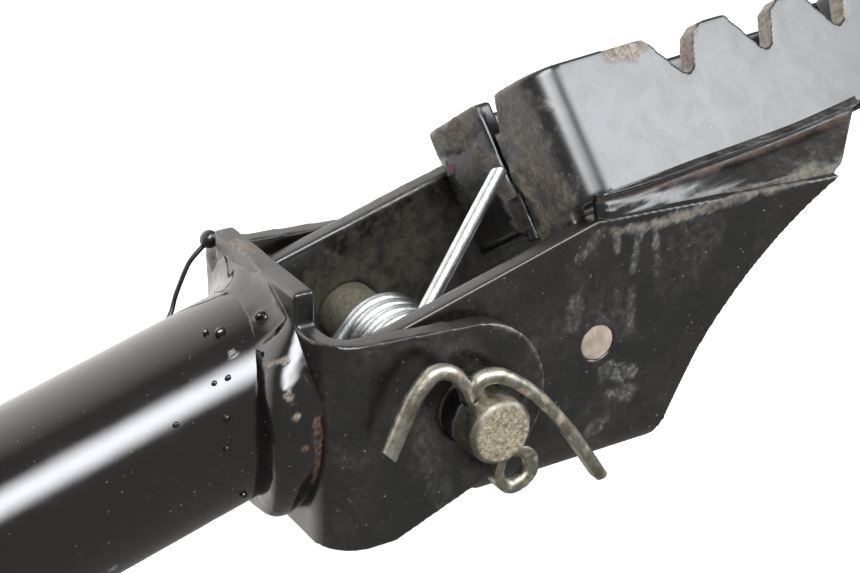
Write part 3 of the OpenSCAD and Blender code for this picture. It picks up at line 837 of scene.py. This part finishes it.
def weld_band(name, low, high, depth, seed):
    """Uneven weld between the tread's lower edge (v = 0) and the near wall (v = 1), closed at the back."""
    upper = smooth_path([(-3.4, -0.25, 0.3), (8, -0.25, 0.3), (19, -0.25, 0.4), (31, -0.25, 0.3),
                         (43, -0.25, 0.3), (54, -0.25, 0.7), (62, -0.25, 1.1)], 40)
    to_pivot = np.array(AT_PIVOT.inverted() @ AT_TREAD)
    upper = upper @ to_pivot[:3, :3].T + to_pivot[:3, 3] / MM
    lower = smooth_path([(29.6, -17.1, 13.9), (32, -17.2, 10.8), (37.5, -17.2, 8.9), (46, -17.2, 7.0),
                         (57, -17.2, 4.8), (65, -17.2, 2.8), (72.6, -17.2, 0.4)], 40)
    count, across = 240, 44
    s = np.linspace(0, 1, count)
    up = np.array([upper[int(round(t * (len(upper) - 1)))] for t in s])
    down = np.array([lower[int(round(t * (len(lower) - 1)))] for t in s])
    v = np.linspace(low, high, across)
    base = up[:, None] * (1 - v)[None, :, None] + down[:, None] * v[None, :, None]
    out = np.array([0.2, -0.93, 0.3])
    out /= np.linalg.norm(out)
    # The band laid flat, about as long and as wide in mm as the real one, for the noise
    flat = np.stack([np.repeat(s * 62, across), np.tile(v * 9, count), np.zeros(count * across)], 1)
    lean = flat + np.stack([np.zeros(len(flat)), flat[:, 0] * 0.10, np.zeros(len(flat))], 1)
    streaks = 0.55 * fractal(lean * np.array([0.22, 1, 1]), 2.2, seed, 3)
    lumps = 0.4 * fractal(flat, 3.1, seed + 5, 2) + 0.12 * fractal(flat, 1.1, seed + 6, 2)
    grown = np.repeat(smoothstep(s, 0.05, 0.35), across)
    vv = np.tile(v, count)
    bead = np.exp(-((vv - 0.09) / 0.055) ** 2) * (0.4 + 1.1 * grown) * (1 + 0.6 * lumps)
    groove = -0.6 * np.exp(-((vv - 0.27) / 0.1) ** 2) * (0.5 + 0.5 * grown)
    ridge = 0.45 * np.exp(-((vv - 0.62) / 0.2) ** 2) * (1 + streaks)
    ends = np.repeat(np.minimum(smoothstep(s, 0, 0.04), 1 - smoothstep(s, 0.97, 1)), across)
    height = (bead + groove + ridge + 0.18 * streaks + 0.14 * lumps) * ends - 1.1 * smoothstep(vv, 0.86, 1.0)
    height -= 0.5 * (1 - ends)
    front = base.reshape(-1, 3) + out * height[:, None]
    back = base.reshape(-1, 3) - out * depth
    n = count * across
    faces = []
    for i in range(count - 1):
        for k in range(across - 1):
            a, b, c, d = i * across + k, i * across + k + 1, (i + 1) * across + k + 1, (i + 1) * across + k
            faces += [[a, b, c, d], [n + d, n + c, n + b, n + a]]
    rim = [(i * across, (i + 1) * across) for i in range(count - 1)]
    rim += [((i + 1) * across + across - 1, i * across + across - 1) for i in range(count - 1)]
    rim += [(k + 1, k) for k in range(across - 1)]
    rim += [((count - 1) * across + k, (count - 1) * across + k + 1) for k in range(across - 1)]
    faces += [[a, b, n + b, n + a] for a, b in rim]
    obj = from_data(name, list(front) + list(back), faces, AT_PIVOT)
    turn_outwards(obj)
    return obj, np.tile(vv, 2), np.tile(np.repeat(s, across), 2)


def make_lip():
    band, v, s = weld_band("lip_finished", 0.16, 1.0, 1.6, 43)
    here = points_of(band, AT_PIVOT)
    dress(band, AT_PIVOT, wear=0.1, seed=23, rounds=2)
    ragged = fractal(here, 3, 201, 4)
    set_mask(band, "mud_and_painted_light", 0.85 * smoothstep(v + 0.2 * ragged, 0.76, 0.88))
    set_mask(band, "rust", 0.5 * smoothstep(1 - np.abs(v - 0.28) / 0.16 + 0.6 * ragged, 0.4, 1.1))
    rubbed = 0.4 * smoothstep(ragged + 0.4 * np.sin(s * 9), 0.1, 0.5) * smoothstep(v, 0.35, 0.5)
    set_mask(band, "scuff_and_highlight", rubbed)
    finish_piece(band, "peg", "peg_paint", PEG, "bracket_lip")
    bead, v, s = weld_band("near_bead", 0.0, 0.2, 1.2, 43)
    here = points_of(bead, AT_PIVOT)
    dress(bead, AT_PIVOT, wear=0.6, seed=24, rounds=2)
    ragged = fractal(here, 2, 203, 4)
    # The pale crest along the bead's top is partly worn paint and partly a painted highlight
    crest = smoothstep(1 - np.abs(v - 0.08) / 0.09, 0, 0.5)
    set_mask(bead, "scuff_and_highlight", smoothstep(ragged + s, 0.2, 0.8) * crest)
    finish_piece(bead, "peg", "weld_bead", PEG, "tread_near_weld")


def make_plug():
    """Dried clay packed into the small hole in the near wall."""
    bm = bmesh.new()
    bmesh.ops.create_uvsphere(bm, u_segments=64, v_segments=40, radius=1)
    mesh = bpy.data.meshes.new("hole_clay")
    radius, half_thick = 2.84, 0.6
    centre = np.array([24.5, -WALL_OUT + 0.62, -4.9])
    p = np.array([q.co for q in bm.verts])
    flat = np.sign(p[:, 2]) * np.abs(p[:, 2]) ** 0.55
    p = np.stack([p[:, 0] * radius, flat * half_thick, p[:, 1] * radius], 1)
    p += 0.05 * fractal(p, 1.4, 211, 3)[:, None] + centre
    for q, r in zip(bm.verts, p):
        q.co = Vector(r) * MM
    bmesh.ops.recalc_face_normals(bm, faces=bm.faces)
    bm.to_mesh(mesh)
    bm.free()
    mesh.transform(AT_PIVOT)
    obj = new_object("hole_clay", mesh)
    mesh.materials.append(CLAY)
    mesh.shade_smooth()
    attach(obj, "peg")


def make_near_strip():
    near = refined("tread_near_strip", "near_strip_finished", AT_TREAD, 0.42, 4)
    here = points_of(near, AT_TREAD)
    waves = 0.05 * fractal(here, 16, 45, 2) + 0.008 * fractal(here, 3, 46, 2) - 0.04
    move_points(near, normals_of(near) * waves[:, None])
    dress(near, AT_TREAD, wear=0.6,
          bare=[([(11.5, 0.4, 20.0), (17.5, 0.4, 19.8)], 2.1, 1.0),
                ([(14, 2, 20.4), (18, 2, 20.4)], 2.0, 0.9),
                ([(27, 1.6, 14), (29.5, 1.6, 18), (33, 1.6, 20.4)], 1.7, 0.8),
                ([(47, 1.6, 14), (49.5, 1.6, 18), (53, 1.6, 20.4)], 1.6, 0.8),
                ([(68, 1.6, 14), (70.5, 1.6, 18), (74, 1.6, 20.4)], 1.6, 0.8)],
          scuff_and_highlight=[([(-5, 6, 12), (-5, 7, 8)], 1.6, 0.5), ([(-5, 3, 3), (-5, 8, 0)], 2.0, 0.5),
                 ([(-5, 8, 15), (-5, 8, 3)], 5.0, 0.75)],
          mud_and_painted_light=[([(-5, 12.8, 8.6), (-5, 11, 4.7), (-5, 10.2, 1.3), (-5, 10.9, -0.6), (-5, 13.2, -1.7)],
                1.2, 1.0),
               ([(-5, 8, 15), (-5, 8, 3)], 6.0, 0.3),
               ([(-5, 8, 12), (-5, 9.5, 8)], 1.6, 0.5), ([(-5, 9.5, 18), (-5, 12.5, 12)], 1.2, 0.6)],
          rust=[([(-5, 9, 10), (-5, 7, 5)], 1.6, 0.4), ([(28, 1.5, 15), (29.5, 1.5, 17.5)], 1.1, 0.5)],
          seed=25)
    finish_piece(near, "peg", "peg_paint", TREAD, "tread_near_strip")


def make_far_strip():
    far = refined("tread_far_strip", "far_strip_finished", AT_TREAD, 0.42, 4)
    here = points_of(far, AT_TREAD)
    move_points(far, normals_of(far) * (0.1 * fractal(here, 9, 47, 3) - 0.06)[:, None])
    dress(far, AT_TREAD, wear=0.6,
          mud_and_painted_light=[([(-5, 16, 19), (-5, 22, 18), (-4, 28, 18), (2, 29, 18)], 2.4, 0.6),
               ([(-5, 15, 2), (-5, 16, 12)], 1.8, 0.55)],
          scuff_and_highlight=[([(-5, 20, 12), (-5, 24, 8)], 4.0, 0.35)],
          rust=[([(-5, 20, 19)], 1.6, 1.0), ([(-5, 25, 14)], 1.4, 1.0), ([(-5, 17, 14)], 1.2, 0.9)],
          bare=[([(18, 27.5, 20.3), (31, 27.5, 20)], 1.8, 0.8)], swell=0.35, seed=26)
    finish_piece(far, "peg", "peg_paint", TREAD, "tread_far_strip")


def make_rib():
    rib = refined("tread_cross_rib", "rib_finished", AT_TREAD, 0.4, 3)
    dress(rib, AT_TREAD, wear=0.6, seed=27)
    finish_piece(rib, "peg", "peg_paint", TREAD, "tread_cross_rib")


def make_tread_beads():
    """The tread's small welds: each one's node, name, how far it is sunk in mm, and mud."""
    beads = (("tread_far_weld", "far_bead", 0.1, [([(-4, 30, -4), (10, 32, -4)], 5.0, 0.7)]),
             ("inner_seam_weld", "inner_bead", 0.8, [([(-5, 14, -2), (-5, 14, 6)], 6.0, 0.3)]),
             ("tip_seam_weld", "tip_bead", 0.1, []),
             ("rib_welds", "rib_beads", 0.1, []))
    for i, (node, name, sunk, mud_and_painted_light) in enumerate(beads):
        bead = refined(node, name, AT_TREAD, 0.3, 3)
        here = points_of(bead, AT_TREAD)
        move_points(bead, normals_of(bead) * (0.25 * fractal(here, 2.4, 48 + i, 3) - sunk)[:, None])
        dress(bead, AT_TREAD, wear=0.3, mud_and_painted_light=mud_and_painted_light, seed=28 + i)
        finish_piece(bead, "peg", "weld_bead", BEAD, node)


make_tube()
make_flange()
make_clevis()
make_clevis_weld()
make_spatter()
make_whisker()
make_pin()
make_cotter()
make_spring()
make_bracket()
make_lip()
make_plug()
make_near_strip()
make_far_strip()
make_rib()
make_tread_beads()


# ---- floor, light, camera ----
def plain_floor():
    """A white floor a little below the part, which glows faintly to lift the shadows under it."""
    half, below = 3.0, 15 * MM
    z = CAD_BOX[0][2] - below
    corners = [(-half, -half, z), (half, -half, z), (half, half, z), (-half, half, z)]
    mesh = bpy.data.meshes.new("floor")
    mesh.from_pydata(corners, [], [(0, 1, 2, 3)])
    floor = new_object("floor", mesh)
    p = Paint("floor_white")
    p.put("Base Color", p.mix(p.noise(60, 3), rgb(246, 246, 246), rgb(250, 250, 250)))
    p.put("Roughness", 0.9)
    p.put("Specular IOR Level", 0.1)
    p.put("Emission Color", (1, 1, 1, 1))
    p.put("Emission Strength", 0.45)
    mesh.materials.append(p.material)
    floor.visible_glossy = False


def softbox(name, direction, distance, size_x, size_y, power, fade_x, fade_y):
    """An area light aimed at the pivot, in metres and watts. fade is the width of its soft edge."""
    lamp = bpy.data.lights.new(name, "AREA")
    lamp.shape = "RECTANGLE"
    lamp.size, lamp.size_y = size_x, size_y
    lamp.energy = power
    lamp.color = (0.93, 0.96, 1.0)
    # The light fades towards its four edges, as a diffuser does
    lamp.use_nodes = True
    tree = lamp.node_tree
    place = tree.nodes.new("ShaderNodeSeparateXYZ")
    tree.links.new(tree.nodes.new("ShaderNodeNewGeometry").outputs["Parametric"], place.inputs[0])
    glow = None
    for axis, fade in (("X", fade_x), ("Y", fade_y)):
        off = tree.nodes.new("ShaderNodeMath")
        off.operation = "PINGPONG"
        off.inputs[1].default_value = 0.5
        tree.links.new(place.outputs[axis], off.inputs[0])
        ramp = tree.nodes.new("ShaderNodeMapRange")
        ramp.interpolation_type = "SMOOTHSTEP"
        for slot, value in ((1, 0.0), (2, fade), (3, 0.0), (4, 1.0)):
            ramp.inputs[slot].default_value = value
        tree.links.new(off.outputs[0], ramp.inputs[0])
        if glow is None:
            glow = ramp.outputs[0]
        else:
            both = tree.nodes.new("ShaderNodeMath")
            both.operation = "MULTIPLY"
            tree.links.new(glow, both.inputs[0])
            tree.links.new(ramp.outputs[0], both.inputs[1])
            glow = both.outputs[0]
    shine = next(n for n in tree.nodes if n.type == "EMISSION")
    tree.links.new(glow, shine.inputs["Strength"])
    obj = bpy.data.objects.new(name, lamp)
    obj.location = PIVOT + Vector(direction).normalized() * distance
    obj.rotation_euler = (PIVOT - obj.location).to_track_quat("-Z", "Y").to_euler()
    bpy.context.scene.collection.objects.link(obj)


def studio():
    """A pale room, brightest behind and above the part, and two softboxes."""
    world = bpy.data.worlds.new("studio")
    bpy.context.scene.world = world
    world.use_nodes = True
    tree = world.node_tree
    where = tree.nodes.new("ShaderNodeTexCoord")
    facing = tree.nodes.new("ShaderNodeVectorMath")
    facing.operation = "DOT_PRODUCT"
    facing.inputs[1].default_value = (-0.35, 0.93, 0.35)
    level = tree.nodes.new("ShaderNodeMapRange")
    for slot, value in ((1, 0.35), (2, 0.92), (3, 0.27), (4, 1.9)):
        level.inputs[slot].default_value = value
    tree.links.new(where.outputs["Generated"], facing.inputs[0])
    tree.links.new(facing.outputs["Value"], level.inputs[0])
    tree.links.new(level.outputs[0], tree.nodes["Background"].inputs["Strength"])
    tree.nodes["Background"].inputs["Color"].default_value = (1.0, 0.985, 0.96, 1)
    softbox("front_top", (0.15, -0.62, 0.79), 0.8, 1.05, 0.62, 25, 0.35, 0.48)
    softbox("side", (0.887, -0.40, 0.229), 0.8, 0.75, 0.66, 11.5, 0.35, 0.45)


def camera():
    """The photo's own view: where the camera stands, in mm from the pivot, and its three axes."""
    data = bpy.data.cameras.new("view")
    data.lens = 83.9
    data.sensor_width = 36
    data.clip_start = 0.01
    obj = bpy.data.objects.new("view", data)
    right, up, back = (0.8303, -0.5071, -0.2311), (0.4501, 0.3657, 0.8146), (-0.3286, -0.7805, 0.5319)
    turn = Matrix((right, up, back)).transposed().to_4x4()
    obj.matrix_world = Matrix.Translation(PIVOT + Vector((-89.60, -232.52, 165.07)) * MM) @ turn
    bpy.context.scene.collection.objects.link(obj)
    bpy.context.scene.camera = obj


plain_floor()
studio()
camera()
bpy.context.scene.view_settings.view_transform = "Standard"
